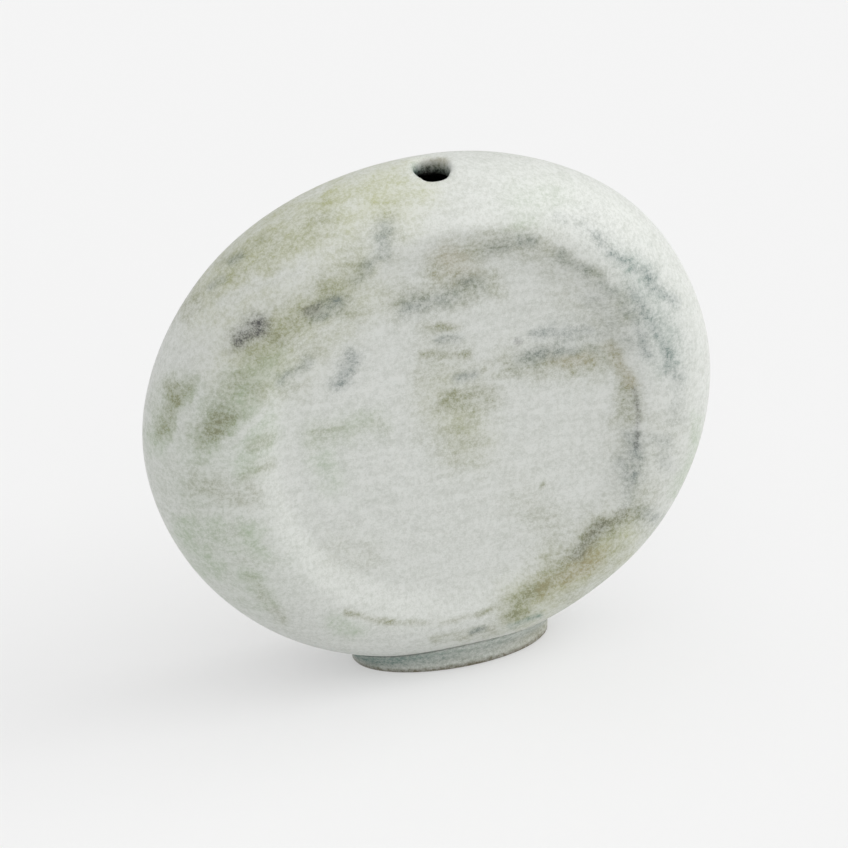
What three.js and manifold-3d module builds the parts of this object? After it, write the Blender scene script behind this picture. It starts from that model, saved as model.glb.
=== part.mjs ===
// A coin vase: a flat round stoneware flask that stands on its edge.
// Two thrown dishes are luted rim to rim with slip, an oval foot ring carries them, and the top of
// the rim is pierced for one stem.
// Millimetres, +Z up, front face towards -Y, origin on the table under the middle of the disc.
import * as THREE from "three";
import { mergeVertices } from "three/addons/utils/BufferGeometryUtils.js";
import Module from "manifold-3d";

const wasm = await Module();
wasm.setup();

// Driving dimensions of the disc
const DISC_WIDTH = 130;
const DISC_HEIGHT = 122; // a little less than the width, as the disc sagged in drying
const DISC_DEPTH = 34; // from the ridge of one face to the ridge of the other
const WALL = 4.5;

// The recessed face inside its soft ridge
const FACE_WIDTH = 90;
const FACE_HEIGHT = 96;
const FACE_SHIFT_Z = 2.5; // the face was trimmed a little above the middle of the disc
const FACE_RECESS = 2.2;
const FACE_SLOPE = 8; // width of the slope from the ridge down to the flat of the face

// Slip that lutes the pieces together, and the gap kept between two curved fits
const SEAM_SLIP = 1;
const FOOT_SLIP = 0.8;
const CLEARANCE = 0.3;

// Foot ring: an oval, a little off the middle as it was luted on by hand
const FOOT_LENGTH = 47;
const FOOT_WIDTH = 24;
const FOOT_WALL = 4.5;
const FOOT_LIFT = 1; // from the table to the lowest point of the disc
const FOOT_SHIFT_X = 2.5;
const FOOT_SHIFT_Y = 1;

// Mouth: a plain hole through the rim, right of the middle and in front of the seam
const MOUTH_BORE = 8.4;
const MOUTH_SHIFT_X = 1.2;
const MOUTH_SHIFT_Y = -2.3;

// Facets
const ROUND_STEPS = 56;
const SHOULDER_STEPS = 8;
const OVAL_STEPS = 40;
const BORE_STEPS = 28;

// Values that follow from the driving dimensions
const RIM_RADIUS = DISC_WIDTH / 2;
const RIM_RATIO = DISC_HEIGHT / DISC_WIDTH;
const RIDGE_RADIUS = FACE_WIDTH / 2;
const RIDGE_DEPTH = DISC_DEPTH / 2;
const RIDGE_RATIO = FACE_HEIGHT / FACE_WIDTH;
const CENTRE_Z = FOOT_LIFT + DISC_HEIGHT / 2;
const RIM_TOP_Z = CENTRE_Z + DISC_HEIGHT / 2;
const SEAM_HALF = SEAM_SLIP / 2;

// Satin glaze, the slip of the joints and the darker glaze pooled round the foot
const glaze = new THREE.MeshStandardMaterial({ color: 0xc3c8be, roughness: 0.5, metalness: 0 });
const backGlaze = glaze.clone();
const seamSlip = new THREE.MeshStandardMaterial({ color: 0xb9bdb1, roughness: 0.6, metalness: 0 });
const footGlaze = new THREE.MeshStandardMaterial({ color: 0x8d978c, roughness: 0.5, metalness: 0 });
const bedSlip = new THREE.MeshStandardMaterial({ color: 0x7b8a80, roughness: 0.6, metalness: 0 });

// A closed geometry as a solid that can be cut and joined.
function solidFrom(geometry) {
  const bare = geometry.index ? geometry.toNonIndexed() : geometry.clone();
  bare.deleteAttribute("normal");
  bare.deleteAttribute("uv");
  const merged = mergeVertices(bare, 1e-3);
  return new wasm.Manifold(
    new wasm.Mesh({
      numProp: 3,
      vertProperties: merged.attributes.position.array,
      triVerts: new Uint32Array(merged.index.array),
    }),
  );
}

// A solid as a geometry again.
function geometryFrom(solid) {
  const mesh = solid.getMesh();
  return new THREE.BufferGeometry()
    .setAttribute("position", new THREE.BufferAttribute(new Float32Array(mesh.vertProperties), 3))
    .setIndex(new THREE.BufferAttribute(new Uint32Array(mesh.triVerts), 1));
}

// The front outline from the middle of the face to its ridge: flat, then a soft slope.
function facePoints(ridgeDepth) {
  const points = [new THREE.Vector2(0, FACE_RECESS - ridgeDepth)];
  for (const share of [0, 0.25, 0.5, 0.75]) {
    const rise = share * share * (3 - 2 * share);
    const radius = RIDGE_RADIUS - FACE_SLOPE * (1 - share);
    points.push(new THREE.Vector2(radius, FACE_RECESS * (1 - rise) - ridgeDepth));
  }
  return points;
}

// The shoulder from the ridge to the rim: a quarter ellipse, level at the ridge and upright at the rim.
function shoulderPoints(rimRadius, ridgeDepth) {
  const points = [];
  for (let i = 0; i <= SHOULDER_STEPS; i++) {
    const angle = ((1 - i / SHOULDER_STEPS) * Math.PI) / 2;
    const radius = RIDGE_RADIUS + (rimRadius - RIDGE_RADIUS) * Math.cos(angle);
    points.push(new THREE.Vector2(radius, -ridgeDepth * Math.sin(angle)));
  }
  return points;
}

// Draws a turned disc to its height: the rim is flattened and the face keeps its own height and place.
// The blend is eased, so most of the shoulder follows the rim.
function drawUpright(geometry, rimRadius) {
  const position = geometry.attributes.position;
  for (let i = 0; i < position.count; i++) {
    const radius = Math.hypot(position.getX(i), position.getZ(i));
    const share = THREE.MathUtils.clamp((radius - RIDGE_RADIUS) / (rimRadius - RIDGE_RADIUS), 0, 1);
    const eased = 1 - (1 - share) ** 2;
    const ratio = THREE.MathUtils.lerp(RIDGE_RATIO, RIM_RATIO, eased);
    const shift = THREE.MathUtils.lerp(FACE_SHIFT_Z, 0, eased);
    position.setZ(i, position.getZ(i) * ratio + shift + CENTRE_Z);
  }
  return geometry;
}

// The whole flask as a filled body, its surface moved out by a margin (in if negative).
function filledFlask(margin) {
  const rimRadius = RIM_RADIUS + margin;
  const ridgeDepth = RIDGE_DEPTH + margin;
  const front = [...facePoints(ridgeDepth), ...shoulderPoints(rimRadius, ridgeDepth)];
  const back = front.slice(0, -1).reverse();
  const profile = [...front, ...back.map((p) => new THREE.Vector2(p.x, -p.y))];
  return solidFrom(drawUpright(new THREE.LatheGeometry(profile, ROUND_STEPS), rimRadius));
}

// The hole for the stem: an upright bar from inside the hollow to above the rim.
function mouthBar() {
  const length = 6 * WALL;
  const bar = new THREE.CylinderGeometry(MOUTH_BORE / 2, MOUTH_BORE / 2, length, BORE_STEPS);
  bar.rotateX(Math.PI / 2);
  bar.translate(MOUTH_SHIFT_X, MOUTH_SHIFT_Y, RIM_TOP_Z);
  return solidFrom(bar);
}

// An upright oval bar on the foot's axis, standing on the table.
function footBar(length, width) {
  const oval = new THREE.Shape();
  oval.absellipse(FOOT_SHIFT_X, FOOT_SHIFT_Y, length / 2, width / 2, 0, Math.PI * 2);
  const settings = { depth: CENTRE_Z / 2, bevelEnabled: false, curveSegments: OVAL_STEPS };
  return solidFrom(new THREE.ExtrudeGeometry(oval, settings));
}

// The hollow flask, pierced at the mouth, then parted at the seam
const flask = filledFlask(0).subtract(filledFlask(-WALL)).subtract(mouthBar());
const frontDish = flask.trimByPlane([0, -1, 0], SEAM_HALF);
const backDish = flask.trimByPlane([0, 1, 0], SEAM_HALF);
const rimSlip = flask.trimByPlane([0, -1, 0], -SEAM_HALF).trimByPlane([0, 1, 0], -SEAM_HALF);

// The foot ring, hollowed to the underside of the disc, and the bed of slip between the two
const BED_OUTSIDE = CLEARANCE + FOOT_SLIP;
const footTube = footBar(FOOT_LENGTH, FOOT_WIDTH).subtract(
  footBar(FOOT_LENGTH - 2 * FOOT_WALL, FOOT_WIDTH - 2 * FOOT_WALL),
);
const footRing = footTube.subtract(filledFlask(BED_OUTSIDE + CLEARANCE));
const footBed = footTube.intersect(filledFlask(BED_OUTSIDE)).subtract(filledFlask(CLEARANCE));

// The assembly
const vase = new THREE.Group();

function addPiece(name, solid, material) {
  const mesh = new THREE.Mesh(geometryFrom(solid), material);
  mesh.name = name;
  vase.add(mesh);
}

addPiece("front_dish", frontDish, glaze);
addPiece("back_dish", backDish, backGlaze);
addPiece("rim_slip", rimSlip, seamSlip);
addPiece("foot_ring", footRing, footGlaze);
addPiece("foot_bed", footBed, bedSlip);

export default vase;
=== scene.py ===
import math
import random

import bmesh
import bpy
import numpy as np
from mathutils import Matrix, Vector, noise


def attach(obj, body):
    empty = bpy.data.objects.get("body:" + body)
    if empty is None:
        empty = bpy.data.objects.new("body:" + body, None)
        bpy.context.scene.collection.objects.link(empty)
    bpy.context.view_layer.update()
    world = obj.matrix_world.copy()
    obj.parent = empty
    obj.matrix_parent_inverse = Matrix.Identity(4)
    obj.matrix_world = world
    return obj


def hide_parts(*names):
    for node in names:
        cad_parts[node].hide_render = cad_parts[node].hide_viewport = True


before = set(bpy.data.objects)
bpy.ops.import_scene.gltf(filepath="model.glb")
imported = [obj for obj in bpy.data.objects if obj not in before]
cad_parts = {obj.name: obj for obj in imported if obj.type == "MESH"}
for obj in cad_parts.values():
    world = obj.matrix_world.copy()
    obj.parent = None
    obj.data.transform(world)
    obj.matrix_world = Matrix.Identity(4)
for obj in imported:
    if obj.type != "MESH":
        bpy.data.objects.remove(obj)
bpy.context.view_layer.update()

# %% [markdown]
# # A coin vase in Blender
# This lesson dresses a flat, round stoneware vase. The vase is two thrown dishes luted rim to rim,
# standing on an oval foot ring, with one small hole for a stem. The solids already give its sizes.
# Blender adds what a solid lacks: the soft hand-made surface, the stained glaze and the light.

MM = 0.001
RIM_RADIUS = 65 * MM
RIM_RATIO = 122 / 130
RIDGE_RADIUS = 45 * MM
RIDGE_RATIO = 96 / 90
RIDGE_DEPTH = 17 * MM
FACE_RECESS = 2.2 * MM
FACE_SLOPE = 8 * MM
FACE_SHIFT_Z = 2.5 * MM
WALL = 4.5 * MM
CENTRE_Z = 62 * MM
SEAM_HALF = 0.5 * MM
MOUTH_RADIUS = 4.2 * MM
MOUTH_X, MOUTH_Y, MOUTH_Z = 1.2 * MM, -2.3 * MM, 123 * MM
FOOT_X, FOOT_Y = 2.5 * MM, 1 * MM
FOOT_A, FOOT_B = 23.5 * MM, 12 * MM
FOOT_WALL = 4.5 * MM

# %% [markdown]
# ## The camera comes first
# The photograph was taken from a little left of the front and from above, with a long lens.
# The camera is set before the vase because the stains are placed through it later: each stain is
# named by where it shows in the picture, and the same sums that place a point in the picture tell
# which part of the glaze lies under the stain.

# %% Set the camera at the photograph's angle
FRAME_PX = 848
AZIMUTH, ELEVATION, ROLL = math.radians(-15.8), math.radians(27.8), math.radians(-2.24)
DISTANCE = 0.7
PX_PER_MM = 4.48  # scale of the picture at the middle of the disc
FOCAL_PX = PX_PER_MM * DISTANCE / MM
MIDDLE_PX = (432.4, 409.5)  # where the middle of the disc shows
SENSOR_MM = 36

look = Vector((
    -math.sin(AZIMUTH) * math.cos(ELEVATION),
    math.cos(AZIMUTH) * math.cos(ELEVATION),
    -math.sin(ELEVATION),
))
flat_right = Vector((math.cos(AZIMUTH), math.sin(AZIMUTH), 0))
flat_up = flat_right.cross(look)
right = flat_right * math.cos(ROLL) + flat_up * math.sin(ROLL)
up = flat_up * math.cos(ROLL) - flat_right * math.sin(ROLL)
per_px = DISTANCE / FOCAL_PX
aim = Vector((0, 0, CENTRE_Z))
aim += right * (FRAME_PX / 2 - MIDDLE_PX[0]) * per_px
aim -= up * (FRAME_PX / 2 - MIDDLE_PX[1]) * per_px
eye = aim - look * DISTANCE

camera_data = bpy.data.cameras.new("camera")
camera_data.sensor_width = SENSOR_MM
camera_data.lens = FOCAL_PX / FRAME_PX * SENSOR_MM
camera_data.clip_start = 0.01
camera = bpy.data.objects.new("camera", camera_data)
bpy.context.collection.objects.link(camera)
turn = Matrix((right, up, -look)).transposed()
camera.matrix_world = Matrix.Translation(eye) @ turn.to_4x4()
bpy.context.scene.camera = camera
print("lens in mm:", round(camera_data.lens, 1))


def to_picture(points):
    """Where points show in the photograph's frame, in pixels from the top left."""
    offset = points - np.array(eye)
    depth = offset @ np.array(look)
    across = FRAME_PX / 2 + FOCAL_PX * (offset @ np.array(right)) / depth
    down = FRAME_PX / 2 - FOCAL_PX * (offset @ np.array(up)) / depth
    return np.stack([across, down], axis=1)


middle = to_picture(np.array([[0, 0, CENTRE_Z]]))[0]
print("middle of the disc shows at", middle.round(1))

# %% [markdown]
# ## The flask
# A potter throws each dish on a wheel, so a turned outline is the honest way to model it. One
# outline runs over the front face, up its soft ridge, round the shoulder to the rim and down the
# back, and spinning it gives the body. The disc sagged a little as it dried, so the rim is drawn
# flatter than a circle, while the trimmed face keeps a height and a place of its own.

# %% Spin the outside and the hollow
SHOULDER_STEPS = 40
SLOPE_STEPS = 12
ROUND_STEPS = 192


def half_outline(margin):
    """Radius and depth from the middle of the front face to the rim, moved out by a margin."""
    depth = RIDGE_DEPTH + margin
    points = [(0, FACE_RECESS - depth)]
    for i in range(SLOPE_STEPS):
        share = i / SLOPE_STEPS
        rise = share * share * (3 - 2 * share)
        radius = RIDGE_RADIUS - FACE_SLOPE * (1 - share)
        points.append((radius, FACE_RECESS * (1 - rise) - depth))
    for i in range(SHOULDER_STEPS + 1):
        angle = (1 - i / SHOULDER_STEPS) * math.pi / 2
        radius = RIDGE_RADIUS + (RIM_RADIUS + margin - RIDGE_RADIUS) * math.cos(angle)
        points.append((radius, -depth * math.sin(angle)))
    return points


def drawn_height(share):
    """Ratio and shift of the height, at a share of the way from the ridge to the rim."""
    eased = 1 - (1 - share) ** 2
    ratio = RIDGE_RATIO + (RIM_RATIO - RIDGE_RATIO) * eased
    return ratio, FACE_SHIFT_Z * (1 - eased)


def new_object(name, bm):
    """A linked object that holds a finished bmesh."""
    mesh = bpy.data.meshes.new(name)
    bm.to_mesh(mesh)
    bm.free()
    made = bpy.data.objects.new(name, mesh)
    bpy.context.collection.objects.link(made)
    return made


def spin_flask(name, margin):
    """The flask as a filled body, its surface moved out by a margin."""
    half = half_outline(margin)
    outline = half + [(r, -y) for r, y in reversed(half[:-1])]
    bm = bmesh.new()
    ring = [bm.verts.new((r, y, 0)) for r, y in outline]
    edges = [bm.edges.new(pair) for pair in zip(ring, ring[1:])]
    bmesh.ops.spin(
        bm,
        geom=ring + edges,
        cent=(0, 0, 0),
        axis=(0, 1, 0),
        angle=2 * math.pi,
        steps=ROUND_STEPS,
        use_merge=True,
    )
    bmesh.ops.remove_doubles(bm, verts=bm.verts, dist=0.01 * MM)
    rim = RIM_RADIUS + margin
    for v in bm.verts:
        share = (math.hypot(v.co.x, v.co.z) - RIDGE_RADIUS) / (rim - RIDGE_RADIUS)
        ratio, shift = drawn_height(min(max(share, 0), 1))
        v.co.z = v.co.z * ratio + shift + CENTRE_Z
    bmesh.ops.recalc_face_normals(bm, faces=bm.faces)
    return new_object(name, bm)


outside = spin_flask("outside", 0)
hollow = spin_flask("hollow", -WALL)
print("turned faces:", len(outside.data.polygons), len(hollow.data.polygons))

# %% [markdown]
# ## The mouth and the soft skin
# The stem hole was pierced through the leather-hard wall and its edge wiped soft with a wet finger.
# Two Boolean cuts take out the hollow and the hole, which a cone gives, a little longer from front to
# back. A voxel remesh then turns the body into an even skin of small squares, and a few rounds of
# smoothing wipe the edge of the hole, as the finger did. The squares also carry the stains later, so
# they are kept smaller than the narrowest stroke.

# %% Pierce the mouth and remesh the body
VOXEL = 0.7 * MM
MOUTH_FLARE = 1.5 * MM  # over 15 mm, so the hole widens a little towards the top
MOUTH_STRETCH = 1.15  # the finger wiped the edge longer from front to back

stretch = Matrix.Diagonal((1, MOUTH_STRETCH, 1, 1))
bm = bmesh.new()
bmesh.ops.create_cone(
    bm,
    cap_ends=True,
    segments=64,
    radius1=MOUTH_RADIUS - MOUTH_FLARE,
    radius2=MOUTH_RADIUS + MOUTH_FLARE,
    depth=30 * MM,
    matrix=Matrix.Translation((MOUTH_X, MOUTH_Y, MOUTH_Z)) @ stretch,
)
bar = new_object("bar", bm)

for cutter in (hollow, bar):
    cut = outside.modifiers.new(cutter.name, "BOOLEAN")
    cut.operation = "DIFFERENCE"
    cut.solver = "EXACT"
    cut.object = cutter
skin = outside.modifiers.new("skin", "REMESH")
skin.mode = "VOXEL"
skin.voxel_size = VOXEL
wipe = outside.modifiers.new("wipe", "SMOOTH")
wipe.factor = 0.5
wipe.iterations = 10
graph = bpy.context.evaluated_depsgraph_get()
body_mesh = bpy.data.meshes.new_from_object(outside.evaluated_get(graph))
for helper in (outside, hollow, bar):
    bpy.data.objects.remove(helper)
print("skin vertices:", len(body_mesh.vertices))

# %% [markdown]
# ## The hand in the form
# A thrown pot is never an exact disc. The rim is pressed flat left of the hole and stands out a little
# at the upper right and at both sides, and the walls swell and dip by tenths of a millimetre. A few
# soft pushes round the rim give the first, slow noise along the surface gives the second, and faint
# rings in the face are left by the throwing.

# %% Push the rim and let the walls swell
PUSHES = [
    # place on the rim in degrees, from the right over the top; width in degrees; push in mm
    (97, 17, -1.2),
    (37, 13, 0.7),
    (-36, 26, 0.8),
    (168, 17, 0.7),
]
SWELL = 0.35 * MM
SWELL_SIZE = 26 * MM
RING_HEIGHT = 0.06 * MM
RING_PITCH = 4.5 * MM


def vertex_values(mesh, name):
    """The places or the normals of a mesh's vertices, one row each."""
    values = np.empty(len(mesh.vertices) * 3)
    mesh.vertices.foreach_get(name, values)
    return values.reshape(-1, 3)


def ramp(values, start, end):
    """0 up to the start, 1 past the end and a straight rise between. The end may be the lower one."""
    return np.clip((values - start) / (end - start), 0, 1)


points = vertex_values(body_mesh, "co")
normals = vertex_values(body_mesh, "normal")
count = len(points)

swell = np.array([noise.noise(Vector(p) / SWELL_SIZE) for p in points])
from_face = np.hypot(points[:, 0], points[:, 2] - CENTRE_Z - FACE_SHIFT_Z)
on_face = ramp(from_face, RIDGE_RADIUS, RIDGE_RADIUS - FACE_SLOPE)
rings = on_face * np.sin(from_face * 2 * math.pi / RING_PITCH)
points += normals * (SWELL * swell + RING_HEIGHT * rings)[:, None]

from_centre = np.stack([points[:, 0], points[:, 2] - CENTRE_Z], axis=1)
bearing = np.degrees(np.arctan2(from_centre[:, 1], from_centre[:, 0]))
for at, width, push in PUSHES:
    apart = (bearing - at + 180) % 360 - 180
    share = push * MM / RIM_RADIUS * np.exp(-((apart / width) ** 2) / 2)
    points[:, [0, 2]] += from_centre * share[:, None]
body_mesh.vertices.foreach_set("co", points.ravel())
body_mesh.update()
normals = vertex_values(body_mesh, "normal")
print("swell in mm:", (SWELL * swell.min() / MM).round(2), (SWELL * swell.max() / MM).round(2))

# %% [markdown]
# ## Reading the stains
# The glaze is a pale grey-green with iron and copper stains that were brushed and sponged on before
# firing. Each stain is one soft stroke: a kind of colour, a strength, a half-width and the points that
# it passes, named by where they show in the picture. They are read one stroke at a time.
# Where a stain was wiped off again, a pale streak is noted in the same way, and the last such streak is a
# painted highlight, the pale line where the ridge at the upper right catches the light. The strokes can
# stay plain, because their edges are broken later, first by a drift and then by grain in the glaze.

# %% Name the strokes seen on the front
STAINS_AND_SHADE = {
    # kinds of colour, from the thinnest to the strongest
    "wash": "#b5b88e",
    "green": "#adbba4",
    "olive": "#8c8f70",
    "ochre": "#9a9068",
    "slate": "#757f7c",
    "teal": "#5f7f75",
    "dark": "#535352",
    "clay": "#655d43",
    # the last kind is no stain: painted shade, nearly black, for the dark depth of the stem hole
    "painted_shade": "#1d1a17",
}
STROKES = [
    # kind, strength, half-width and path, the last two in pixels of the picture
    # wash over the upper left shoulder
    ("wash", 0.42, 44, [(222, 286), (270, 246), (325, 212), (385, 192)]),
    ("wash", 0.52, 18, [(300, 214), (345, 192), (392, 178)]),
    ("wash", 0.45, 14, [(392, 180), (428, 196)]),
    ("olive", 0.24, 24, [(218, 290), (262, 256), (320, 222)]),
    ("olive", 0.34, 11, [(228, 262), (262, 240)]),
    ("olive", 0.30, 12, [(186, 310), (215, 284)]),
    ("slate", 0.35, 4, [(212, 288), (222, 280)]),
    ("slate", 0.30, 4, [(230, 263), (240, 256)]),
    ("olive", 0.30, 14, [(387, 218), (392, 248)]),
    ("slate", 0.42, 9, [(384, 228), (382, 254)]),
    ("slate", 0.30, 9, [(378, 256), (358, 278)]),
    # band of smudges across the upper left
    ("wash", 0.45, 36, [(250, 362), (300, 325), (350, 282)]),
    ("olive", 0.52, 28, [(262, 348), (300, 325), (335, 300)]),
    ("olive", 0.38, 22, [(330, 302), (360, 268)]),
    ("olive", 0.40, 17, [(236, 394), (262, 374), (312, 344)]),
    ("green", 0.40, 20, [(240, 394), (270, 366)]),
    ("olive", 0.26, 12, [(285, 392), (300, 384)]),
    ("slate", 0.46, 9, [(318, 314), (340, 303)]),
    ("dark", 0.46, 6, [(306, 313), (316, 309)]),
    ("dark", 0.62, 10, [(238, 338), (260, 322)]),
    ("slate", 0.36, 7, [(283, 380), (306, 364)]),
    ("slate", 0.46, 9, [(342, 380), (352, 358)]),
    # left edge
    ("olive", 0.54, 16, [(180, 392), (168, 426)]),
    ("green", 0.60, 22, [(184, 400), (166, 436)]),
    ("olive", 0.50, 20, [(226, 414), (208, 438)]),
    ("green", 0.60, 28, [(240, 404), (210, 440)]),
    ("dark", 0.08, 14, [(222, 416), (210, 432)]),
    ("olive", 0.30, 10, [(228, 402), (246, 394)]),
    ("green", 0.50, 18, [(262, 430), (248, 462)]),
    ("olive", 0.30, 7, [(256, 446), (270, 438)]),
    ("olive", 0.26, 9, [(246, 476), (266, 466)]),
    # mottles down the lower left shoulder
    ("olive", 0.26, 15, [(195, 486), (250, 496)]),
    ("green", 0.18, 46, [(190, 450), (205, 520), (250, 580)]),
    ("olive", 0.07, 40, [(180, 480), (240, 560)]),
    ("green", 0.62, 17, [(186, 528), (214, 566)]),
    ("green", 0.50, 15, [(214, 526), (228, 548)]),
    ("green", 0.56, 15, [(246, 530), (258, 556)]),
    ("green", 0.50, 13, [(248, 574), (268, 602)]),
    ("olive", 0.30, 8, [(250, 578), (280, 616)]),
    # left of the face
    ("green", 0.30, 16, [(316, 438), (372, 422)]),
    ("olive", 0.20, 13, [(318, 438), (372, 424)]),
    ("green", 0.32, 15, [(322, 462), (334, 480)]),
    ("olive", 0.15, 18, [(338, 552), (366, 556)]),
    # top of the face, under its ridge
    ("olive", 0.35, 18, [(436, 272), (462, 256), (490, 244), (530, 244), (552, 254)]),
    ("ochre", 0.40, 14, [(444, 264), (464, 274)]),
    ("slate", 0.24, 9, [(488, 248), (508, 243)]),
    ("slate", 0.32, 7, [(519, 240), (530, 241)]),
    ("olive", 0.36, 12, [(548, 248), (586, 268), (616, 290), (632, 318)]),
    ("slate", 0.38, 9, [(560, 256), (590, 272), (618, 292), (632, 316), (648, 352)]),
    ("olive", 0.17, 24, [(572, 290), (612, 330)]),
    ("slate", 0.16, 16, [(596, 300), (620, 330)]),
    ("olive", 0.42, 17, [(402, 300), (440, 296), (492, 284)]),
    ("slate", 0.38, 10, [(406, 306), (438, 301), (478, 284)]),
    # brush lines on the face
    ("olive", 0.18, 20, [(430, 330), (460, 356)]),
    ("olive", 0.50, 5, [(418, 328), (458, 326)]),
    ("slate", 0.36, 5, [(438, 340), (458, 337)]),
    ("olive", 0.48, 6, [(424, 357), (468, 355)]),
    ("olive", 0.26, 13, [(424, 372), (500, 366)]),
    ("slate", 0.42, 5, [(456, 379), (474, 375)]),
    ("olive", 0.52, 18, [(446, 400), (484, 397)]),
    ("olive", 0.34, 22, [(462, 418), (464, 448)]),
    ("olive", 0.18, 24, [(432, 392), (446, 440)]),
    ("wash", 0.25, 26, [(446, 398), (468, 436)]),
    ("dark", 0.50, 3, [(517, 340), (519, 340)]),
    ("olive", 0.70, 3, [(543, 483), (543, 485)]),
    # band across the right of the face
    ("olive", 0.44, 17, [(506, 364), (545, 362), (604, 358)]),
    ("slate", 0.34, 10, [(518, 360), (550, 352), (588, 347)]),
    ("slate", 0.38, 6, [(536, 333), (592, 329)]),
    ("slate", 0.20, 18, [(560, 340), (622, 336)]),
    ("ochre", 0.36, 7, [(550, 361), (590, 360)]),
    ("ochre", 0.40, 7, [(608, 346), (621, 366), (629, 382)]),
    ("olive", 0.46, 10, [(616, 366), (630, 390), (634, 410)]),
    ("olive", 0.46, 13, [(622, 394), (622, 418)]),
    ("dark", 0.36, 3, [(634, 390), (638, 410), (637, 446)]),
    ("slate", 0.46, 9, [(637, 440), (635, 474)]),
    ("slate", 0.34, 10, [(622, 462), (629, 498)]),
    ("olive", 0.24, 26, [(632, 456), (640, 510)]),
    # streaks over the right shoulder
    ("slate", 0.10, 26, [(584, 224), (636, 278), (664, 345)]),
    ("slate", 0.28, 8, [(560, 216), (584, 224), (606, 246)]),
    ("slate", 0.46, 7, [(612, 254), (640, 270), (655, 285), (672, 300)]),
    ("slate", 0.44, 7, [(630, 290), (642, 306), (652, 324), (668, 350), (674, 378)]),
    ("teal", 0.18, 18, [(626, 264), (656, 300), (670, 360)]),
    ("slate", 0.15, 9, [(676, 370), (676, 420)]),
    ("green", 0.40, 6, [(697, 418), (693, 457), (673, 493)]),
    ("slate", 0.24, 10, [(660, 440), (668, 464)]),
    ("slate", 0.28, 8, [(638, 510), (656, 518)]),
    ("olive", 0.12, 26, [(664, 430), (654, 480)]),
    ("green", 0.18, 20, [(520, 202), (556, 196)]),
    ("green", 0.20, 11, [(514, 224), (532, 222)]),
    # lower right edge of the face
    ("wash", 0.50, 24, [(620, 540), (575, 572), (524, 606)]),
    ("olive", 0.64, 16, [(636, 516), (604, 530), (575, 556), (540, 586), (514, 608)]),
    ("ochre", 0.44, 13, [(596, 556), (570, 574), (546, 586)]),
    ("dark", 0.28, 8, [(622, 514), (600, 530), (572, 556)]),
    ("olive", 0.26, 19, [(620, 545), (570, 596)]),
    ("teal", 0.45, 3, [(511, 626), (540, 615)]),
    ("olive", 0.17, 22, [(525, 500), (560, 540)]),
    # lines along the bottom
    ("olive", 0.60, 3, [(346, 613), (362, 616), (376, 620), (391, 622)]),
    ("olive", 0.28, 3, [(391, 622), (432, 623), (456, 620), (477, 614)]),
    ("olive", 0.55, 3, [(477, 614), (490, 609), (513, 601)]),
    ("olive", 0.40, 6, [(434, 639), (462, 637), (496, 630)]),
    ("slate", 0.50, 3, [(472, 633), (484, 630)]),
    ("green", 0.40, 9, [(330, 626), (356, 632)]),
]
# Pale streaks where the stain was wiped off again, the last a painted highlight: strength, half-width and
# path
WIPES_AND_HIGHLIGHT = [
    (0.75, 8, [(226, 304), (262, 284), (306, 260)]),
    (0.80, 6, [(200, 394), (188, 416), (172, 448)]),
    (0.70, 8, [(264, 404), (246, 428), (228, 452)]),
    (0.60, 8, [(340, 316), (318, 340), (290, 356)]),
    (0.50, 7, [(390, 268), (352, 300)]),
    # painted highlight: the pale line where the ridge catches the light
    (0.70, 6, [(536, 234), (572, 250), (600, 262), (616, 278)]),
]
print("strokes on the front:", len(STROKES))


def soft_stroke(places, path, half_width):
    """1 along a path, a third at its half-width and soon 0. Places and path share one plane."""
    best = np.full(len(places), np.inf)
    path = [np.array(p, float) for p in path]
    for start, end in zip(path, path[1:]):
        along = end - start
        t = np.clip((places - start) @ along / (along @ along), 0, 1)
        best = np.minimum(best, np.hypot(*(places - start - t[:, None] * along).T))
    return np.exp(-1.1 * (best / half_width) ** 2)


# %% [markdown]
# ## Laying the stains on the clay
# A stroke belongs only to skin that the picture shows, on the outside of the pot. So each point of the
# skin is asked two things: does it face the camera, and does it face away from the hollow? The change
# from seen to unseen is soft, so no edge shows when the pot is looked at from the side.

# %% Find the skin that the picture shows
SOFT_TURN = 0.15  # how far the skin turns from edge-on before it counts as seen

toward_eye = np.array(eye) - points
toward_eye /= np.linalg.norm(toward_eye, axis=1)[:, None]
facing = np.einsum("ij,ij->i", normals, toward_eye)
outward = np.array((1 / RIM_RADIUS**2, 1 / RIDGE_DEPTH**2, 1 / RIM_RADIUS**2))
from_middle = (points - np.array((0, 0, CENTRE_Z))) * outward
is_outside = np.einsum("ij,ij->i", normals, from_middle) > 0
turned = ramp(facing, 0, SOFT_TURN)
seen = turned * is_outside
unseen = (1 - turned) * is_outside
print("share of the skin seen:", round(float(seen.mean()), 2))

# %% [markdown]
# A sponge or a loaded brush leaves a ragged edge. Each point is therefore moved a little by noise before
# it is compared with a stroke, which lets the stroke's edge wander. Three sizes of noise are added, from
# 9 mm down to under 2 mm. A thin line was drawn with a steadier hand, so it wanders less.

# %% Lay the strokes on the front
WANDER = ((9, 1.3), (3.5, 1.3), (1.8, 0.9))  # size and reach of each drift, in mm
WANDER_SEED = 5  # without a seed, the drift would differ each time
STEADY_PX = 12  # strokes with a smaller half-width wander less

noise.seed_set(WANDER_SEED)
drift = np.zeros((count, 2))
for size, reach in WANDER:
    drift += reach * np.array([noise.noise_vector(Vector(p) / (size * MM))[:2] for p in points])

masks = {kind: np.zeros(count) for kind in STAINS_AND_SHADE}
still = to_picture(points)
for kind, strength, half_width, path in STROKES:
    picture = still + drift * PX_PER_MM * min(half_width / STEADY_PX, 1)
    masks[kind] = np.maximum(masks[kind], strength * seen * soft_stroke(picture, path, half_width))
print("drift in mm, at most:", np.abs(drift).max().round(1))

# %% [markdown]
# The back isn't in the picture, but the same potter brushed it. So strokes of the same kinds are drawn
# there by a seeded random hand: level ones on the face, and ones that follow the rim further out. The
# rim is first rolled out flat round the back, as a paper pattern would be, so that a stroke keeps its
# shape where it runs over the edge.

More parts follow.
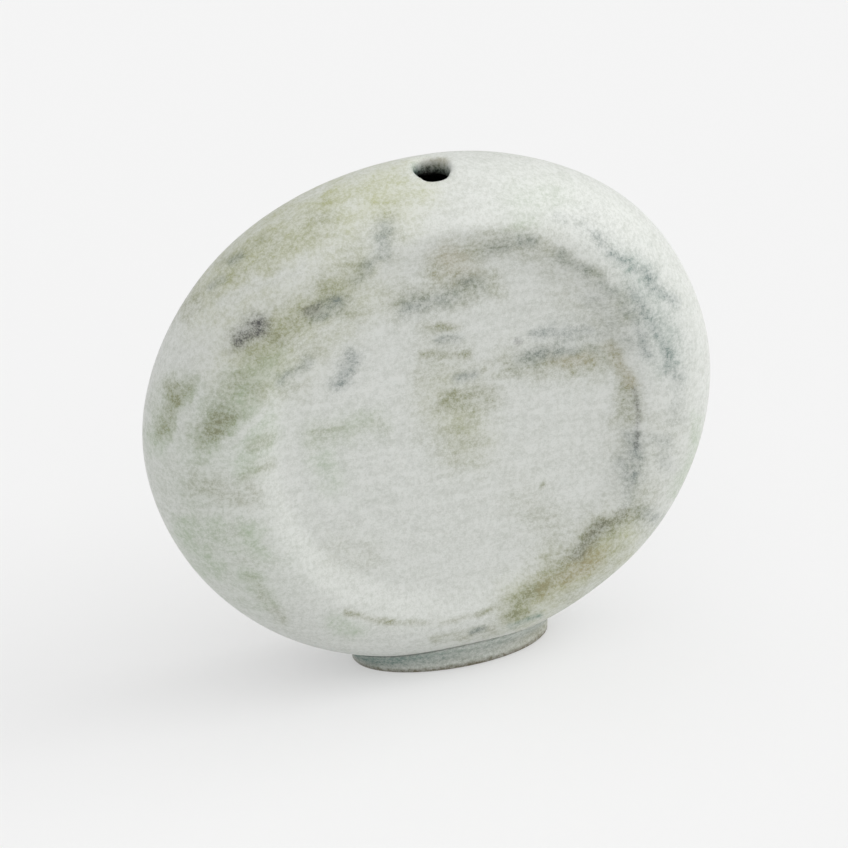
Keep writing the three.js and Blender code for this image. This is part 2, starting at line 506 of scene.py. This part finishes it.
# %% Brush the back
BACK_SEED = 11
BACK_STROKES = 52
BACK_RATIO = 0.93  # the strokes are spread over a field a little flatter than a circle, as the disc is
BACK_RADIUS = (8, 78)  # where a stroke starts, in mm from the middle, with the rim rolled out
BACK_LENGTH = (6, 24)
BACK_HALF_WIDTH = (2, 6)
BACK_STRENGTH = (0.25, 0.55)
LEVEL_WITHIN = 34  # strokes that start nearer to the middle run level
BACK_KINDS = ("olive", "olive", "olive", "wash", "slate", "slate", "green", "ochre")

hand = random.Random(BACK_SEED)
plane = np.stack([points[:, 0], points[:, 2] - CENTRE_Z], axis=1)
away = np.maximum(np.hypot(*plane.T), 5 * MM)  # never 0, as it divides
over_rim = np.clip(RIDGE_DEPTH - points[:, 1], 0, None)
plane = plane * (1 + over_rim / away)[:, None] / MM + drift
for _ in range(BACK_STROKES):
    angle, radius = hand.uniform(0, 2 * math.pi), hand.uniform(*BACK_RADIUS)
    start = np.array((math.cos(angle), math.sin(angle) * BACK_RATIO)) * radius
    if radius < LEVEL_WITHIN:
        lean = hand.uniform(-0.5, 0.5)
    else:
        lean = angle + math.pi / 2 + hand.uniform(-0.2, 0.2)
    end = start + np.array((math.cos(lean), math.sin(lean))) * hand.uniform(*BACK_LENGTH)
    kind = hand.choice(BACK_KINDS)
    stroke = soft_stroke(plane, [start, end], hand.uniform(*BACK_HALF_WIDTH))
    masks[kind] = np.maximum(masks[kind], hand.uniform(*BACK_STRENGTH) * unseen * stroke)
print("strokes on the back:", BACK_STROKES)

# %% [markdown]
# A sponge takes up stain unevenly, so a stroke is stronger in one patch and weaker in the next. A slow
# noise, a different one for each kind of stain, gives that. The wiped streaks and the painted highlight
# then take stain away.

# %% Make the stains patchy, wipe the streaks and paint the highlight
PATCH_SIZE = 6 * MM
PATCH_REACH = 0.5
PATCH_LIMITS = (0.45, 1.4)

wiped_and_highlit = np.zeros(count)
picture = still + drift * PX_PER_MM
for strength, half_width, path in WIPES_AND_HIGHLIGHT:
    wiped_and_highlit = np.maximum(wiped_and_highlit, strength * seen * soft_stroke(picture, path, half_width))
for number, kind in enumerate(STAINS_AND_SHADE):
    shift = Vector((number, 0, 0))
    patchy = np.array([noise.fractal(Vector(p) / PATCH_SIZE + shift, 0.5, 2.0, 4) for p in points])
    masks[kind] *= np.clip(1 + PATCH_REACH * patchy, *PATCH_LIMITS) * (1 - wiped_and_highlit)
print("share of the skin wiped:", round(float((wiped_and_highlit > 0.3).mean()), 3))

# %% [markdown]
# In the stem hole the glaze is thin: brown clay shows at the far lip and teal glaze runs down the left
# and lower in the wall. Towards the hollow the wall is painted nearly black, a painted shade for the dark
# depth of the hole, and the inside of the hollow gets the same painted shade. All the masks are then kept
# as attributes of the skin, where the glaze can read them.

# %% Stain the mouth, paint its shade and keep the masks
LIP = (5.2 * MM, 4 * MM)  # from the hole's axis: the lip's outer edge, and where it is full
MOUTH_REACH = 11 * MM  # how far down the hole is stained
SIDE = 3 * MM  # how far from the axis a side of the hole is full
# the painted shade of the hole grows between these two heights
DARKENING = (121 * MM, 118.2 * MM)  # heights between which the wall grows dark


def keep_masks(mesh, masks):
    """Writes each mask as an attribute of the mesh, one value to a vertex."""
    for kind, mask in masks.items():
        layer = mesh.attributes.new(kind, "FLOAT", "POINT")
        layer.data.foreach_set("value", mask)


from_axis = np.hypot(points[:, 0] - MOUTH_X, points[:, 1] - MOUTH_Y)
near_top = points[:, 2] > MOUTH_Z - MOUTH_REACH
in_mouth = ramp(from_axis, *LIP) * near_top
behind = ramp(points[:, 1], MOUTH_Y, MOUTH_Y + SIDE)
left_side = ramp(points[:, 0], MOUTH_X, MOUTH_X - SIDE)
deep = ramp(points[:, 2], *DARKENING)
masks["ochre"] = np.maximum(masks["ochre"], 0.5 * in_mouth * behind * (1 - left_side))
masks["teal"] = np.maximum(masks["teal"], in_mouth * (0.4 * left_side + 0.8 * deep))
# painted shade: nearly black low in the hole, and over the inside of the hollow
masks["painted_shade"] = deep**1.4 * np.where(is_outside, in_mouth, 1)
keep_masks(body_mesh, masks)
print("share of skin stained:", {k: round(float((m > 0.3).mean()), 3) for k, m in masks.items()})

# %% [markdown]
# ## Parting the body at its seam
# The real body was two dishes and a ring of slip, and the parts library keeps them apart, so the skin
# is cut by two planes. Each cut is closed with a flat face. The direction of the surface is noted
# before the cut and given back after it, so that the light runs over the joint without a crease.

# %% Cut the skin into the front dish, the slip and the back dish
normal_layer = body_mesh.attributes.new("noted", "FLOAT_VECTOR", "POINT")
normal_layer.data.foreach_set("vector", normals.ravel())


def part_between(name, low, high):
    """The piece of the skin between two depths, closed at each cut."""
    bm = bmesh.new()
    bm.from_mesh(body_mesh)
    for depth, side in ((low, -1), (high, 1)):
        if depth is None:
            continue
        cut = bmesh.ops.bisect_plane(
            bm,
            geom=bm.verts[:] + bm.edges[:] + bm.faces[:],
            dist=0.001 * MM,
            plane_co=(0, depth, 0),
            plane_no=(0, side, 0),
            clear_outer=True,
        )
        rim = [e for e in cut["geom_cut"] if isinstance(e, bmesh.types.BMEdge)]
        bmesh.ops.triangle_fill(bm, edges=rim, use_beauty=True, normal=(0, side, 0))
        for edge in rim:
            edge.smooth = False
    for face in bm.faces:
        face.smooth = True
    piece = new_object(name, bm)
    noted = np.empty(len(piece.data.vertices) * 3)
    piece.data.attributes["noted"].data.foreach_get("vector", noted)
    noted = noted.reshape(-1, 3)
    noted /= np.linalg.norm(noted, axis=1)[:, None]
    piece.data.attributes.remove(piece.data.attributes["noted"])
    piece.data.normals_split_custom_set_from_vertices(noted)
    return piece


front = part_between("glazed_front_dish", None, -SEAM_HALF)
seam = part_between("glazed_rim_slip", -SEAM_HALF, SEAM_HALF)
back = part_between("glazed_back_dish", SEAM_HALF, None)
for piece, node in ((front, "front_dish"), (seam, "rim_slip"), (back, "back_dish")):
    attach(piece, "root")
    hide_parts(node)
print("faces:", [len(p.data.polygons) for p in (front, seam, back)])

# %% [markdown]
# ## The foot
# The foot is a low oval ring, rolled and luted on while the clay was soft. Its lower edge is worn round
# and wiped free of glaze, so that the pot didn't stick to the kiln shelf. The slip that beds the disc was
# smoothed with a fingertip into a hollow curve, from the ring's wall out to the disc. A small outline is
# spun into a round ring, and each point is then moved from the circle to the oval, its top to the
# underside of the disc.

# %% Spin the foot ring and its bed
OVAL_STEPS = 160


def underside(x, y):
    """Height of the disc's lower surface above the table at a place."""
    share = math.sqrt(max(1 - (y / RIDGE_DEPTH) ** 2, 0))
    radius = RIDGE_RADIUS + (RIM_RADIUS - RIDGE_RADIUS) * share
    ratio, shift = drawn_height(share)
    low = math.sqrt(max(radius**2 - x**2, 0))
    return CENTRE_Z + shift - low * ratio


def spin_oval(name, outline):
    """A closed outline of (offset from the outer wall, height, share of the disc's height)."""
    bm = bmesh.new()
    share_layer = bm.verts.layers.float.new("share")
    ring = [bm.verts.new((FOOT_A + offset, 0, height)) for offset, height, _ in outline]
    for v, (_, _, share) in zip(ring, outline):
        v[share_layer] = share
    edges = [bm.edges.new((ring[i - 1], ring[i])) for i in range(len(ring))]
    bmesh.ops.spin(
        bm,
        geom=ring + edges,
        cent=(0, 0, 0),
        axis=(0, 0, 1),
        angle=2 * math.pi,
        steps=OVAL_STEPS,
        use_merge=True,
    )
    bmesh.ops.remove_doubles(bm, verts=bm.verts, dist=0.001 * MM)
    for v in bm.verts:
        angle = math.atan2(v.co.y, v.co.x)
        offset = math.hypot(v.co.x, v.co.y) - FOOT_A
        v.co.x = FOOT_X + (FOOT_A + offset) * math.cos(angle)
        v.co.y = FOOT_Y + (FOOT_B + offset) * math.sin(angle)
        v.co.z += v[share_layer] * underside(v.co.x, v.co.y)
    bm.verts.layers.float.remove(share_layer)
    bmesh.ops.recalc_face_normals(bm, faces=bm.faces)
    for face in bm.faces:
        face.smooth = True
    return new_object(name, bm)


foot_outline = [
    (-0.9 * MM, 0, 0),
    (-0.35 * MM, 0.15 * MM, 0),
    (0, 0.6 * MM, 0),
    (0.1 * MM, 0, 0.35),
    (0, 0, 0.7),
    (-0.1 * MM, -0.3 * MM, 1),
    (-FOOT_WALL, -0.3 * MM, 1),
    (-FOOT_WALL, 0, 0.5),
    (-FOOT_WALL, 0.4 * MM, 0),
    (-FOOT_WALL + 0.4 * MM, 0, 0),
]
foot = spin_oval("glazed_foot_ring", foot_outline)
bed_outline = [
    (-0.6 * MM, -0.2 * MM, 1),
    (-0.4 * MM, -3.2 * MM, 1),
    (0.02 * MM, -3.0 * MM, 1),
    (0.25 * MM, -2.4 * MM, 1),
    (0.7 * MM, -1.6 * MM, 1),
    (1.5 * MM, -0.75 * MM, 1),
    (2.6 * MM, -0.05 * MM, 1),
    (1.4 * MM, 0.6 * MM, 1),
]
bed = spin_oval("glazed_foot_bed", bed_outline)
for piece, node, slot in ((foot, "foot_ring", "foot_glaze"), (bed, "foot_bed", "glazed_slip")):
    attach(piece, "root")
    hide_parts(node)
print("foot height in mm:", round(max(v.co.z for v in foot.data.vertices) / MM, 1))

# %% [markdown]
# The foot takes the same glaze. It lies thinner and greyer there, is darker and more teal in a band along
# the hollow curve under the disc, most at the left end, and stops short of the lower edge, where a thin
# line of brown clay shows.

# %% Paint the masks of the foot
BAND_DEPTH, BAND_WIDTH = 1, 1.3  # where the darker band lies, in mm below the disc
BARE_EDGE = (1, 0.4)  # heights between which the glaze gives way to clay, in mm
LEFT_END, RIGHT_END = (2, -14), (8, 20)  # where each end begins and where it is full, in mm along x

for piece in (foot, bed):
    x, y, z = vertex_values(piece.data, "co").T / MM
    depth = np.array([underside(*pair) for pair in zip(x * MM, y * MM)]) / MM - z
    left_end, right_end = ramp(x, *LEFT_END), ramp(x, *RIGHT_END)
    under_disc_band = np.exp(-((depth - BAND_DEPTH) / BAND_WIDTH) ** 2)
    paint = {kind: np.zeros(len(x)) for kind in STAINS_AND_SHADE}
    paint["teal"] = (0.16 + 0.3 * left_end) * under_disc_band
    paint["slate"] = 0.16 + (0.14 + 0.3 * left_end) * under_disc_band
    paint["olive"] = np.full(len(x), 0.2)
    paint["ochre"] = 0.3 * right_end * ramp(depth, 0, 2)
    paint["clay"] = ramp(z, *BARE_EDGE)
    keep_masks(piece.data, paint)
    print(piece.name, "bare clay on", round(float((paint["clay"] > 0.5).mean()), 2))

# %% [markdown]
# ## The stained glaze
# A satin glaze scatters light in its skin and keeps a soft sheen. Its colour is built in layers, as the
# potter built it: the pale ground first, then each stain. Four noises break it up: fine grain and crumbs
# of under a millimetre, as a dry sponge leaves, blotches of some millimetres, and level streaks from the
# brush. They are summed once, and the same sum moves the ground, the stains, the sheen and the relief,
# because on the pot they have one cause: where the glaze lies thick and where it lies thin.

# %% Break up the glaze
NOISES = {
    # size in mm, and weight; the real grain is finer than a pixel and is drawn coarser, so that it shows
    "grain": (0.32, 3.0),
    "crumb": (0.9, 3.6),
    "blotch": (4.0, 1.0),
    "streak": (1.6, 1.8),
}
STREAK_STRETCH = (0.14, 0.5, 1.0)  # a streak is long where this is small, so it runs level
LEAST = 0.4  # the sum goes no lower, so that a stain doesn't break into white specks


def add_node(tree, kind, inputs, **settings):
    """Adds a node with its settings. An input is a value, or the output of another node."""
    made = tree.nodes.new(kind)
    for name, value in settings.items():
        setattr(made, name, value)
    for key, value in inputs.items():
        if isinstance(value, bpy.types.NodeSocket):
            tree.links.new(value, made.inputs[key])
        else:
            made.inputs[key].default_value = value
    return made


def calculate(tree, operation, *values, **settings):
    """The result of a Math node."""
    inputs = dict(enumerate(values))
    return add_node(tree, "ShaderNodeMath", inputs, operation=operation, **settings).outputs[0]


def new_material(name):
    """A material whose node tree is still empty."""
    made = bpy.data.materials.new(name)
    made.use_nodes = True
    made.node_tree.nodes.clear()
    return made


def per_metre(size_mm):
    """The texture scale at which one feature is about this large."""
    return 1 / (size_mm * MM)


# Satin stoneware glaze: a pale, soft surface with a broad dull sheen and no sharp reflection.
glaze = new_material("satin_stoneware_glaze")
tree = glaze.node_tree
place = add_node(tree, "ShaderNodeTexCoord", {}).outputs["Object"]
level = add_node(tree, "ShaderNodeMapping", {"Vector": place, "Scale": STREAK_STRETCH}).outputs[0]
# A noise is about 0.5 on average, so this sum starts low enough to end at 1 on average.
broken = 1 - 0.5 * sum(weight for _, weight in NOISES.values())
for name, (size, weight) in NOISES.items():
    grains = add_node(
        tree, "ShaderNodeTexNoise",
        {
            "Vector": level if name == "streak" else place,
            "Scale": per_metre(size),
            "Detail": 3.0,
            "Roughness": 0.6,
        },
    ).outputs[0]
    broken = calculate(tree, "MULTIPLY_ADD", grains, weight, broken)
broken = calculate(tree, "MAXIMUM", broken, LEAST)
print("noises in the glaze:", list(NOISES))

# %% [markdown]
# The stains are laid over the ground one by one, the thin wash first, and the painted shade of the stem
# hole last. A stain settles as dark specks on a paler tone. So a power sharpens the dark side of the sum,
# and a constant keeps the tone between the specks.

# %% Lay the ground, the stains and the painted shade
GROUND = ("#dee0dc", "#c5c8c1")  # the bare glaze at its palest and at its darkest
SPECK_POWER = 1.7
SPECKS, TONE = 0.4, 0.56  # how much of a stain is specks, and how much an even tone


def linear(hex_colour):
    """An sRGB hex colour as linear values with alpha."""
    parts = [int(hex_colour[i:i + 2], 16) / 255 for i in (1, 3, 5)]
    return [c / 12.92 if c <= 0.04045 else ((c + 0.055) / 1.055) ** 2.4 for c in parts] + [1]


def mix_colours(tree, share, first, second):
    """The colour at a share of the way from the first to the second."""
    inputs = {0: share, 6: first, 7: second}
    return add_node(tree, "ShaderNodeMix", inputs, data_type="RGBA").outputs[2]


half = calculate(tree, "MULTIPLY", broken, 0.5)
specks = calculate(tree, "POWER", broken, SPECK_POWER)
wet = calculate(tree, "MULTIPLY_ADD", specks, SPECKS, TONE)
colour = mix_colours(tree, half, *map(linear, GROUND))
for kind, hex_colour in STAINS_AND_SHADE.items():
    mask = add_node(tree, "ShaderNodeAttribute", {}, attribute_name=kind).outputs["Fac"]
    amount = calculate(tree, "MULTIPLY", mask, wet, use_clamp=True)
    colour = mix_colours(tree, amount, colour, linear(hex_colour))
print("layers of stain:", len(STAINS_AND_SHADE))

# %% [markdown]
# A fired glaze is a kind of glass, so it bends light as glass does. Fine crystals in its skin make it
# satin: rough enough to blur every reflection into a sheen. The relief is a few hundredths of a
# millimetre, which the eye sees only as a softly uneven sheen, so a bump gives it.

# %% Finish the surface
GLASS_IOR = 1.5
SATIN = (0.4, 0.58)  # roughness at the smoothest and at the driest
RELIEF = 0.06 * MM
RELIEF_STRENGTH = 0.35

rough = add_node(
    tree, "ShaderNodeMapRange", {"Value": half, "To Min": SATIN[0], "To Max": SATIN[1]}
).outputs[0]
relief = add_node(
    tree, "ShaderNodeBump", {"Height": half, "Strength": RELIEF_STRENGTH, "Distance": RELIEF}
).outputs[0]
shader = add_node(
    tree, "ShaderNodeBsdfPrincipled",
    {"Base Color": colour, "Roughness": rough, "IOR": GLASS_IOR, "Normal": relief},
).outputs[0]
add_node(tree, "ShaderNodeOutputMaterial", {"Surface": shader})
for piece in (front, seam, back, foot, bed):
    piece.data.materials.clear()
    piece.data.materials.append(glaze)
print("nodes in the glaze:", len(tree.nodes))

# %% [markdown]
# ## The table
# The vase stands on a sweep of matt white paper. For rays that show the paper, part of it is replaced by
# a plain glow, which washes the shadow out to the strength it has in the photograph. For the light that
# bounces, it stays plain paper.

# %% Lay the paper
PAPER, GLOW = "#e8e8e8", "#fcfcfc"
SHADOW_FADE = 0.42  # how far the shadow is washed out, as on a brightly lit sweep of paper
FLOOR_HALF = 3

bm = bmesh.new()
bmesh.ops.create_grid(bm, x_segments=8, y_segments=8, size=FLOOR_HALF)
floor = new_object("floor", bm)
# Matt white paper: no sheen, so only the soft shadow shows on it.
paper = new_material("matt_white_paper")
tree = paper.node_tree
matt = add_node(
    tree, "ShaderNodeBsdfPrincipled",
    {"Base Color": linear(PAPER), "Roughness": 0.9, "Specular IOR Level": 0.1},
).outputs[0]
glow = add_node(tree, "ShaderNodeEmission", {"Color": linear(GLOW), "Strength": 1.0}).outputs[0]
ray = add_node(tree, "ShaderNodeLightPath", {}).outputs
shown = calculate(tree, "ADD", ray["Is Camera Ray"], ray["Is Glossy Ray"])
shown = calculate(tree, "ADD", shown, ray["Is Transmission Ray"])
faded = calculate(tree, "MULTIPLY", shown, SHADOW_FADE)
surface = add_node(tree, "ShaderNodeMixShader", {0: faded, 1: matt, 2: glow}).outputs[0]
add_node(tree, "ShaderNodeOutputMaterial", {"Surface": surface})
floor.data.materials.append(paper)
print("paper in m:", 2 * FLOOR_HALF, "square")

# %% [markdown]
# ## The light
# The studio light is even. A wide soft light hangs overhead, a window stands to the right, a weak fill
# comes from the front, and a faint glow from behind the left catches that edge. So the shadow is faint
# and falls to the left, and the right of the shoulder is the brightest part of the pot, as in the
# photograph. Wide suns give this light, because their strength is the same everywhere.

# %% Hang the lights
SOFT_LIGHTS = [
    # name, direction it comes from, strength, width in degrees
    ("overhead", (0.0, -0.1, 1.0), 0.83, 80),
    ("right_window", (0.84, -0.12, 0.53), 1.42, 50),
    ("front_fill", (0.1, -0.9, 0.4), 0.40, 80),
    ("left_glow", (-0.85, 0.5, 0.15), 0.3, 40),
]
ROOM_STRENGTH = 0.5  # the light that a white room sends from all sides

for name, direction, strength, width in SOFT_LIGHTS:
    lamp = bpy.data.objects.new(name, bpy.data.lights.new(name, "SUN"))
    lamp.data.energy = strength
    lamp.data.angle = math.radians(width)
    lamp.location = direction
    lamp.rotation_euler = (-Vector(direction)).to_track_quat("-Z", "Y").to_euler()
    bpy.context.collection.objects.link(lamp)

world = bpy.data.worlds.new("studio")
bpy.context.scene.world = world
world.use_nodes = True
world.node_tree.nodes["Background"].inputs["Color"].default_value = linear("#ffffff")
world.node_tree.nodes["Background"].inputs["Strength"].default_value = ROOM_STRENGTH
bpy.context.scene.view_settings.view_transform = "Standard"
print("soft lights:", [light[0] for light in SOFT_LIGHTS])
